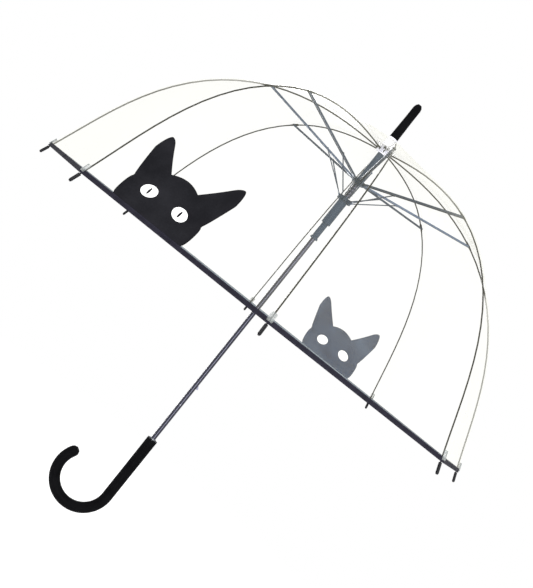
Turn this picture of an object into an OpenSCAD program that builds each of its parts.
// Clear bubble umbrella with an eight-rib self-opening frame and a crook handle.
// Origin: centre of the handle's top face, on the shaft. +Z runs up the shaft to the ferrule.
// The hook opens towards -X, and the ribs stand at multiples of 45 degrees.

/* [Canopy] */
// Height of the crown above the handle's top
crown_z = 610; // [560:1:660]
// Length of one rib from its crown pivot to the hem
rib_length = 587.5; // [520:0.5:640]
// Thickness of the clear film
film_thickness = 0.4; // [0.3:0.1:1.2]
// Width of the tape that binds the hem
hem_width = 7; // [6:0.5:14]
// Thickness of the bound hem
hem_thickness = 1.3; // [0.8:0.1:2]
// Gap left between neighbouring canopy panels, each side
panel_gap = 0.3; // [0.2:0.05:0.6]

/* [Ribs] */
// Radius of a rib's wire
rib_radius = 1.2; // [0.9:0.1:1.8]
// Distance along a rib from the crown pivot to the strut
strut_station = 204; // [180:1:230]
// Length of a rib tip beyond the hem
tip_length = 17; // [10:0.5:24]
// Radius of a rib tip
tip_radius = 2.4; // [1.8:0.1:3.2]

/* [Hubs] */
// Radius of the crown and upper runner pivots
pivot_radius = 9; // [8.5:0.1:11]
// Radius of the lower runner pivots
low_pivot_radius = 10.5; // [10:0.1:12]
// Height of the lower runner pivots
low_pivot_z = 500; // [490:1:505]
// Radius of every pivot pin
pin_radius = 0.8; // [0.6:0.05:1]
// Radial clearance of an eye on its pin
pin_clearance = 0.07; // [0.03:0.01:0.1]
// Half thickness of the flat eye that sits in a hub slot
eye_half = 0.8; // [0.6:0.05:1]

/* [Struts] */
// Outside width of a strut channel
strut_width = 4.4; // [4.3:0.1:6]
// Height of a strut channel
strut_height = 3.2; // [3:0.1:5]
// Wall thickness of a strut channel
strut_wall = 0.6; // [0.5:0.05:0.7]
// Distance along a strut from the upper runner to its link
link_station = 66; // [50:1:80]
// Radius of a link's wire
link_radius = 1; // [0.8:0.1:1.3]
// Sideways offset of a link, which runs beside its strut
link_side = 3.5; // [3.4:0.1:4.5]

/* [Shaft] */
// Outside radius of the shaft tube
shaft_radius = 4; // [3.5:0.1:5]
// Inside radius of the shaft tube
shaft_bore = 3.4; // [2.8:0.1:4.4]
// Radial clearance of a runner on the shaft
runner_clearance = 0.06; // [0.03:0.01:0.1]
// Height of the catch's pivot above the handle
catch_pivot_z = 72; // [60:1:85]
// Height of the catch's lower shoulder
catch_z = 107.5; // [100:0.5:115]

/* [Spring] */
// Radius of the opening spring's centreline
spring_radius = 5.9; // [5.6:0.1:6.1]
// Radius of the spring's wire
spring_wire = 0.7; // [0.5:0.05:0.8]
// Number of turns
spring_turns = 14; // [8:1:18]

/* [Handle] */
// Radius of the handle
handle_radius = 9.2; // [8:0.1:12]
// Length of the handle's straight part
handle_straight = 118; // [90:1:140]
// Radius of the hook's centreline
hook_radius = 47.5; // [40:0.5:60]
// Angle that the hook turns through
hook_sweep = 212; // [180:1:230]

/* [Output] */
// Which sub-part to draw

/* [Hidden] */
rib_count = 8;
step_angle = 360 / rib_count;
half_gore = step_angle / 2;
samples = 120;
pivot_z = crown_z - 9;
eye_hole = pin_radius + pin_clearance;
// slope of a rib below the horizontal, from the crown (t = 0) to the hem (t = 1)
function slope(t) = -1.6 + 24.5 * t + 201.8 * pow(t, 2) - 157.2 * pow(t, 3);
// one step along a rib
function rib_step(i) =
  let (a = slope((i + 0.5) / samples))
  rib_length / samples * [cos(a), -sin(a)];
rib_curve = [for (i = 0, p = [pivot_radius, pivot_z]; i <= samples; p = p + rib_step(i), i = i + 1) p];
// place on a rib at a distance along it, as [radius, height]
function on_rib(s) =
  let (u = max(0, min(s / rib_length * samples, samples - 0.0001)), i = floor(u), f = u - i)
  rib_curve[i] * (1 - f) + rib_curve[i + 1] * f;
// direction of a rib at a distance along it
function rib_way(s) = let (a = slope(min(max(s / rib_length, 0), 1))) [cos(a), -sin(a)];
// direction out of the canopy, square to the rib
function rib_out(s) = let (w = rib_way(s)) [-w[1], w[0]];
// place on a rib that may lie past the hem
function past_rib(s) = s <= rib_length ? on_rib(s) : on_rib(rib_length) + (s - rib_length) * rib_way(rib_length);
strut_pin = on_rib(strut_station);
high_pivot_z = 2 * strut_pin[1] - pivot_z;
high_pivot = [pivot_radius, high_pivot_z];
strut_length = norm(strut_pin - high_pivot);
strut_angle = atan2(strut_pin[1] - high_pivot_z, strut_pin[0] - pivot_radius);
link_pin = high_pivot + link_station * [cos(strut_angle), sin(strut_angle)];
low_pivot = [low_pivot_radius, low_pivot_z];
link_length = norm(link_pin - low_pivot);
link_angle = atan2(link_pin[1] - low_pivot_z, link_pin[0] - low_pivot_radius);
lug_half = 2.4;
slot_half = 1;
lug_reach = 2.2;
lug_height = 3.5;
core_radius = 6.8;
fork_half = 1.4;
head_at = strut_width / 2 + 0.2;
film_lift = rib_radius + 1.4;
runner_bore = shaft_radius + runner_clearance;
sleeve_bottom = low_pivot_z - 50;
neck_bottom = 418.5;
counterbore_z = 458;
ferrule_z = crown_z + 18;

// ---------- shared shapes ----------

// a wire along a path that lies square to the vector side
module wire(path, radius, side, facets = 6) {
  n = len(path);
  function way(i) =
    let (a = path[max(i - 1, 0)], b = path[min(i + 1, n - 1)], d = b - a)
    d / norm(d);
  points = [
    for (i = [0 : n - 1])
      let (w = way(i), out = cross(w, side))
      for (j = [0 : facets - 1])
        path[i] + radius * (cos(j * 360 / facets) * out + sin(j * 360 / facets) * side)
  ];
  skin = [
    for (i = [0 : n - 2], j = [0 : facets - 1])
      let (k = (j + 1) % facets)
      for (f = [0, 1])
        f == 0
          ? [i * facets + j, (i + 1) * facets + k, (i + 1) * facets + j]
          : [i * facets + j, i * facets + k, (i + 1) * facets + k]
  ];
  first = [for (j = [facets - 1 : -1 : 0]) j];
  last = [for (j = [0 : facets - 1]) (n - 1) * facets + j];
  polyhedron(points, concat(skin, [first], [last]), convexity = 6);
}

// a round pin across the part, along Y, at [x, z]
module cross_pin(at, radius, half) {
  translate([at[0], half, at[1]]) rotate([90, 0, 0]) cylinder(h = 2 * half, r = radius, $fn = 32);
}

// a flat plate from one round end to another, along Y
module strap(a, b, ra, rb, half) {
  hull() {
    cross_pin(a, ra, half);
    cross_pin(b, rb, half);
  }
}

// eight slotted lugs with a pin each, on a ring
module lugs(radius, z, root) {
  for (k = [0 : rib_count - 1])
    rotate([0, 0, k * step_angle]) {
      difference() {
        translate([root, -lug_half, z - lug_height])
          cube([radius + lug_reach - root, 2 * lug_half, 2 * lug_height]);
        translate([radius - 2.3, -slot_half, z - lug_height - 1])
          cube([lug_reach + 4, 2 * slot_half, 2 * lug_height + 2]);
      }
      cross_pin([radius, z], pin_radius, slot_half + 0.6);
    }
}

// ---------- pieces on the shaft ----------

module shaft_tube() {
  color([0.72, 0.73, 0.76])
    difference() {
      translate([0, 0, -58]) cylinder(h = 58 + ferrule_z + 20, r = shaft_radius, $fn = 48);
      translate([0, 0, -57]) cylinder(h = 56 + ferrule_z + 20, r = shaft_bore, $fn = 48);
      translate([1, -1, catch_z - 4]) cube([6, 2, 14.5]);
      cross_pin([0, catch_pivot_z], pin_radius, 6);
    }
}

module handle() {
  color([0.05, 0.05, 0.055])
    difference() {
      union() {
        translate([0, 0, -handle_straight]) cylinder(h = handle_straight, r = handle_radius, $fn = 64);
        translate([-hook_radius, 0, -handle_straight])
          rotate([-90, 0, 0])
            rotate_extrude(angle = hook_sweep, $fn = 96)
              translate([hook_radius, 0]) circle(r = handle_radius, $fn = 48);
        translate([-hook_radius, 0, -handle_straight])
          rotate([0, hook_sweep, 0])
            translate([hook_radius, 0, 0.5]) hook_end();
      }
      translate([0, 0, -60]) cylinder(h = 62, r = shaft_radius, $fn = 48);
    }
}

// rounded end of the hook, made of two short cones
module hook_end() {
  mirror([0, 0, 1]) {
    cylinder(h = 4.5, r1 = handle_radius - 0.1, r2 = handle_radius - 1.2, $fn = 48);
    translate([0, 0, 4.4]) cylinder(h = 3.6, r1 = handle_radius - 1.3, r2 = handle_radius - 4.6, $fn = 48);
  }
}

module handle_collar() {
  color([0.8, 0.8, 0.82])
    difference() {
      cylinder(h = 2.2, r = 5.6, $fn = 48);
      translate([0, 0, -1]) cylinder(h = 5, r = shaft_radius, $fn = 48);
    }
}

module ferrule() {
  color([0.05, 0.05, 0.055])
    difference() {
      translate([0, 0, ferrule_z]) {
        cylinder(h = 42, r1 = 7.8, r2 = 7.1, $fn = 48);
        translate([0, 0, 42]) cylinder(h = 20, r = 7.1, $fn = 48);
        translate([0, 0, 62]) cylinder(h = 4.5, r1 = 7.1, r2 = 6.1, $fn = 48);
        translate([0, 0, 66.5]) cylinder(h = 3.5, r1 = 6.1, r2 = 3.6, $fn = 48);
      }
      translate([0, 0, ferrule_z - 1]) cylinder(h = 22, r = shaft_radius, $fn = 48);
    }
}

module crown_cap() {
  color([0.9, 0.9, 0.95, 0.5])
    difference() {
      union() {
        translate([0, 0, crown_z - 1]) cylinder(h = 3, r = 11, $fn = 48);
        translate([0, 0, crown_z + 2]) cylinder(h = ferrule_z - crown_z - 2, r1 = 9.5, r2 = 7.9, $fn = 48);
      }
      translate([0, 0, crown_z - 3]) cylinder(h = 30, r = shaft_radius, $fn = 48);
    }
}

module top_notch() {
  color([0.9, 0.9, 0.92])
    difference() {
      union() {
        translate([0, 0, pivot_z - 5]) cylinder(h = 9.2, r = core_radius - 0.3, $fn = 48);
        lugs(pivot_radius, pivot_z, 5);
      }
      translate([0, 0, pivot_z - 10]) cylinder(h = 20, r = shaft_radius, $fn = 48);
    }
}

module stop_sleeve() {
  color([0.62, 0.65, 0.7])
    difference() {
      translate([0, 0, high_pivot_z + 6.7])
        cylinder(h = pivot_z - 5 - high_pivot_z - 6.7, r = 5.8, $fn = 48);
      translate([0, 0, high_pivot_z]) cylinder(h = 80, r = shaft_radius, $fn = 48);
    }
}

module upper_runner() {
  color([0.42, 0.47, 0.54])
    difference() {
      union() {
        translate([0, 0, high_pivot_z - 4.5]) cylinder(h = 11, r = core_radius - 0.3, $fn = 48);
        lugs(pivot_radius, high_pivot_z, 5);
      }
      translate([0, 0, high_pivot_z - 10]) cylinder(h = 20, r = runner_bore, $fn = 48);
    }
}

module lower_runner() {
  window_z = catch_z + closed_drop - 0.5;
  color([0.42, 0.47, 0.54])
    difference() {
      union() {
        translate([0, 0, neck_bottom]) cylinder(h = 3, r = 7, $fn = 48);
        translate([0, 0, neck_bottom + 2]) cylinder(h = 32, r = 5.5, $fn = 48);
        translate([0, 0, sleeve_bottom]) cylinder(h = 53.5, r = 8, $fn = 48);
        lugs(low_pivot_radius, low_pivot_z, 7.4);
      }
      translate([0, 0, neck_bottom - 1]) cylinder(h = 60, r = runner_bore, $fn = 48);
      translate([0, 0, counterbore_z]) cylinder(h = 60, r = 6.9, $fn = 48);
      translate([2, -1.2, window_z]) cube([6, 2.4, 10]);
    }
}

// how far the lower runner comes down when the frame folds
closed_angle = 8;
strut_open = 90 - strut_angle;
high_drop = 2 * strut_length * (cos(closed_angle) - cos(strut_open));
closed_link_x = pivot_radius + link_station * sin(closed_angle) - low_pivot_radius;
closed_gap = sqrt(pow(link_length, 2) - pow(closed_link_x, 2)) - link_station * cos(closed_angle);
open_gap = high_pivot_z - low_pivot_z;
closed_drop = high_drop - (open_gap - closed_gap);

module opening_spring() {
  low = counterbore_z + 0.2 + spring_wire;
  high = high_pivot_z - 4.7 - spring_wire;
  sides = 6;
  per_turn = 12;
  n = spring_turns * per_turn;
  function centre(i) =
    let (a = i * 360 / per_turn, f = min(max((i - per_turn) / (n - 2 * per_turn), 0), 1))
    let (grow = 2 * spring_wire + 0.1, dead = min(i, per_turn) / per_turn * grow)
    let (end = max(i - n + per_turn, 0) / per_turn * grow)
    [spring_radius * cos(a), spring_radius * sin(a), low + dead + end + f * (high - low - 2 * grow)];
  points = [
    for (i = [0 : n])
      let (c = centre(i), out = [c[0], c[1], 0] / spring_radius)
      let (d = centre(min(i + 1, n)) - centre(max(i - 1, 0)), up = cross(out, d / norm(d)))
      for (j = [0 : sides - 1])
        c + spring_wire * (cos(j * 360 / sides) * out + sin(j * 360 / sides) * up)
  ];
  skin = [
    for (i = [0 : n - 1], j = [0 : sides - 1])
      let (k = (j + 1) % sides)
      for (f = [0, 1])
        f == 0
          ? [i * sides + j, (i + 1) * sides + k, (i + 1) * sides + j]
          : [i * sides + j, i * sides + k, (i + 1) * sides + k]
  ];
  first = [for (j = [sides - 1 : -1 : 0]) j];
  last = [for (j = [0 : sides - 1]) n * sides + j];
  color([0.6, 0.62, 0.66]) polyhedron(points, concat(skin, [first], [last]), convexity = 10);
}

// a sprung lever in the shaft whose nose holds the lower runner down
module catch() {
  color([0.5, 0.52, 0.56])
    difference() {
      union() {
        cross_pin([0, catch_pivot_z], 1.9, eye_half);
        translate([0, eye_half, 0])
          rotate([90, 0, 0])
            linear_extrude(height = 2 * eye_half)
              polygon([
                [-1.2, catch_pivot_z], [1.2, catch_pivot_z], [2.8, catch_z - 3], [2.8, catch_z], [7, catch_z],
                [7, catch_z + 2.6], [3, catch_z + 8.6], [0.8, catch_z + 8.6], [0.8, catch_z - 3]
              ]);
      }
      cross_pin([0, catch_pivot_z], eye_hole, 3);
    }
}

module catch_pin() {
  color([0.7, 0.7, 0.72]) cross_pin([0, catch_pivot_z], pin_radius, shaft_radius - 0.05);
}

// ---------- pieces that repeat round the shaft ----------

// crown half of a rib: flat eye, wire, and the fork that carries the strut pin
module rib_inner() {
  start = 5;
  end = strut_station - 4;
  path = [for (i = [0 : 9]) let (p = on_rib(start + (end - start) * i / 9)) [p[0], 0, p[1]]];
  color([0.13, 0.13, 0.15])
    difference() {
      union() {
        wire(path, rib_radius, [0, 1, 0]);
        strap(on_rib(0), on_rib(8), 2, 1.1, eye_half);
        difference() {
          strap(strut_pin, on_rib(strut_station - 9), 1.6, 1.3, fork_half);
          strap(strut_pin, strut_pin + [8, 0], 3.2, 3.2, 0.75);
        }
        cross_pin(strut_pin, pin_radius, head_at + 0.4);
        translate([strut_pin[0], head_at + 0.5, strut_pin[1]]) rotate([90, 0, 0]) cylinder(h = 0.5, r = 1.2, $fn = 32);
        translate([strut_pin[0], -head_at, strut_pin[1]]) rotate([90, 0, 0]) cylinder(h = 0.5, r = 1.2, $fn = 32);
      }
      cross_pin(on_rib(0), eye_hole, 3);
    }
}

// hem half of a rib: flat eye on the strut pin, then wire into the tip
module rib_outer() {
  start = strut_station + 4.6;
  end = rib_length + tip_length - 5;
  path = [for (i = [0 : 15]) let (p = past_rib(start + (end - start) * i / 15)) [p[0], 0, p[1]]];
  color([0.13, 0.13, 0.15])
    difference() {
      union() {
        wire(path, rib_radius, [0, 1, 0]);
        strap(strut_pin, on_rib(strut_station + 8), 1.6, 1.1, 0.6);
      }
      cross_pin(strut_pin, eye_hole, 3);
    }
}

// U-shaped channel from the upper runner to a rib, open underneath
module strut() {
  inside = strut_width / 2 - strut_wall;
  color([0.42, 0.47, 0.54])
    translate([pivot_radius, 0, high_pivot_z])
      rotate([0, -strut_angle, 0])
        difference() {
          union() {
            difference() {
              union() {
                translate([9, -strut_width / 2, -strut_height / 2])
                  cube([strut_length - 9, strut_width, strut_height]);
                cross_pin([strut_length, 0], strut_height / 2, strut_width / 2);
              }
              translate([16, -inside, -strut_height])
                cube([strut_length, 2 * inside, 1.5 * strut_height - strut_wall]);
              translate([strut_length - 10, -inside, -strut_height])
                cube([30, 2 * inside, 2 * strut_height]);
            }
            translate([0, -eye_half, -1.6]) cube([10, 2 * eye_half, 3.2]);
            cross_pin([0, 0], 2, eye_half);
          }
          cross_pin([0, 0], eye_hole, 3);
          cross_pin([strut_length, 0], eye_hole, 5);
        }
}

// thin wire from the lower runner to the side of a strut, with a rivet head at its end
module link() {
  path = [
    [3.6, 0, 0], [4.6, 0.3, 0], [9, link_side - 0.4, 0], [10.4, link_side, 0],
    [link_length - 30, link_side, 0], [link_length - 1, link_side, 0]
  ];
  color([0.42, 0.47, 0.54])
    translate([low_pivot_radius, 0, low_pivot_z])
      rotate([0, -link_angle, 0])
        difference() {
          union() {
            wire(path, link_radius, [0, 0, 1]);
            strap([0, 0], [5, 0], 2, 1.1, eye_half);
            translate([link_length, link_side + 0.8, 0]) rotate([90, 0, 0]) cylinder(h = 1.6, r = 2, $fn = 32);
            translate([link_length, link_side + 1.4, 0]) rotate([90, 0, 0]) cylinder(h = 0.8, r = 1.2, $fn = 32);
          }
          cross_pin([0, 0], eye_hole, 3);
        }
}

// one canopy panel, centred on its rib, with its share of the bound hem
module canopy_panel() {
  shade = cos(half_gore);
  hem_start = rib_length - hem_width;
  function lift(s) = film_lift + 4.4 * pow(max(0, 1 - s / 60), 2);
  // how far the inner (side 0) or outer (side 1) skin stands off the film's inner face
  function skin_at(s, side) =
    s < hem_start - 0.01 ? side * film_thickness : side * hem_thickness - 0.3;
  function near(s, side) = on_rib(max(s, 0)) + (lift(max(s, 0)) + skin_at(s, side)) * rib_out(max(s, 0));
  function edge(p, side) =
    let (x = p[0] * shade * cos(half_gore), y = p[0] * shade * sin(half_gore))
    [x + panel_gap * sin(half_gore), side * (y - panel_gap * cos(half_gore)), p[1]];
  function row(p) = [edge(p, -1), [p[0], 0, p[1]], edge(p, 1)];
  film = [for (i = [0 : 16]) (hem_start - 0.6) * pow(i / 16, 0.85)];
  stations = concat([-3.4], film, [hem_start, hem_start + hem_width / 2, rib_length]);
  n = len(stations);
  points = [
    for (s = stations, side = [0, 1])
      let (q = near(s, side), p = s < 0 ? [q[0] + s, q[1]] : q)
      each row(p)
  ];
  // station i holds points 6 i to 6 i + 5: inner left, rib, right, then outer left, rib, right
  skin = [
    for (i = [0 : n - 2], j = [0, 1])
      let (a = 6 * i + j, b = 6 * (i + 1) + j)
      each [[a, b, b + 1, a + 1], [a + 3, a + 4, b + 4, b + 3]]
  ];
  sides = [
    for (i = [0 : n - 2])
      let (a = 6 * i, b = 6 * (i + 1))
      each [[a, a + 3, b + 3, b], [a + 2, b + 2, b + 5, a + 5]]
  ];
  e = 6 * (n - 1);
  ends = [[0, 1, 4, 3], [1, 2, 5, 4], [e, e + 3, e + 4, e + 1], [e + 1, e + 4, e + 5, e + 2]];
  color([0.85, 0.9, 0.95, 0.35])
    polyhedron(points, concat(skin, sides, ends), convexity = 6);
}

// plastic end pressed on a rib beyond the hem
module rib_tip() {
  way = rib_way(rib_length);
  at = past_rib(rib_length + 0.5);
  color([0.04, 0.04, 0.045])
    difference() {
      translate([at[0], 0, at[1]])
        rotate([0, 90 + atan2(-way[1], way[0]), 0]) {
          cylinder(h = tip_length - 2.5, r = tip_radius, $fn = 32);
          translate([0, 0, tip_length - 2.5]) cylinder(h = 2, r1 = tip_radius, r2 = tip_radius - 0.9, $fn = 32);
        }
      translate([at[0], 0, at[1]])
        rotate([0, 90 + atan2(-way[1], way[0]), 0])
          translate([0, 0, -1]) cylinder(h = tip_length - 4, r = rib_radius, $fn = 32);
    }
}

module place(k) {
  rotate([0, 0, (k - 1) * step_angle]) children();
}

shaft_tube();
handle();
handle_collar();
ferrule();
crown_cap();
top_notch();
stop_sleeve();
upper_runner();
lower_runner();
opening_spring();
catch();
catch_pin();
place(1) rib_inner();  // rib_inner_1
place(2) rib_inner();  // rib_inner_2
place(3) rib_inner();  // rib_inner_3
place(4) rib_inner();  // rib_inner_4
place(5) rib_inner();  // rib_inner_5
place(6) rib_inner();  // rib_inner_6
place(7) rib_inner();  // rib_inner_7
place(8) rib_inner();  // rib_inner_8
place(1) rib_outer();  // rib_outer_1
place(2) rib_outer();  // rib_outer_2
place(3) rib_outer();  // rib_outer_3
place(4) rib_outer();  // rib_outer_4
place(5) rib_outer();  // rib_outer_5
place(6) rib_outer();  // rib_outer_6
place(7) rib_outer();  // rib_outer_7
place(8) rib_outer();  // rib_outer_8
place(1) strut();  // strut_1
place(2) strut();  // strut_2
place(3) strut();  // strut_3
place(4) strut();  // strut_4
place(5) strut();  // strut_5
place(6) strut();  // strut_6
place(7) strut();  // strut_7
place(8) strut();  // strut_8
place(1) link();  // link_1
place(2) link();  // link_2
place(3) link();  // link_3
place(4) link();  // link_4
place(5) link();  // link_5
place(6) link();  // link_6
place(7) link();  // link_7
place(8) link();  // link_8
place(1) canopy_panel();  // canopy_1
place(2) canopy_panel();  // canopy_2
place(3) canopy_panel();  // canopy_3
place(4) canopy_panel();  // canopy_4
place(5) canopy_panel();  // canopy_5
place(6) canopy_panel();  // canopy_6
place(7) canopy_panel();  // canopy_7
place(8) canopy_panel();  // canopy_8
place(1) rib_tip();  // tip_1
place(2) rib_tip();  // tip_2
place(3) rib_tip();  // tip_3
place(4) rib_tip();  // tip_4
place(5) rib_tip();  // tip_5
place(6) rib_tip();  // tip_6
place(7) rib_tip();  // tip_7
place(8) rib_tip();  // tip_8
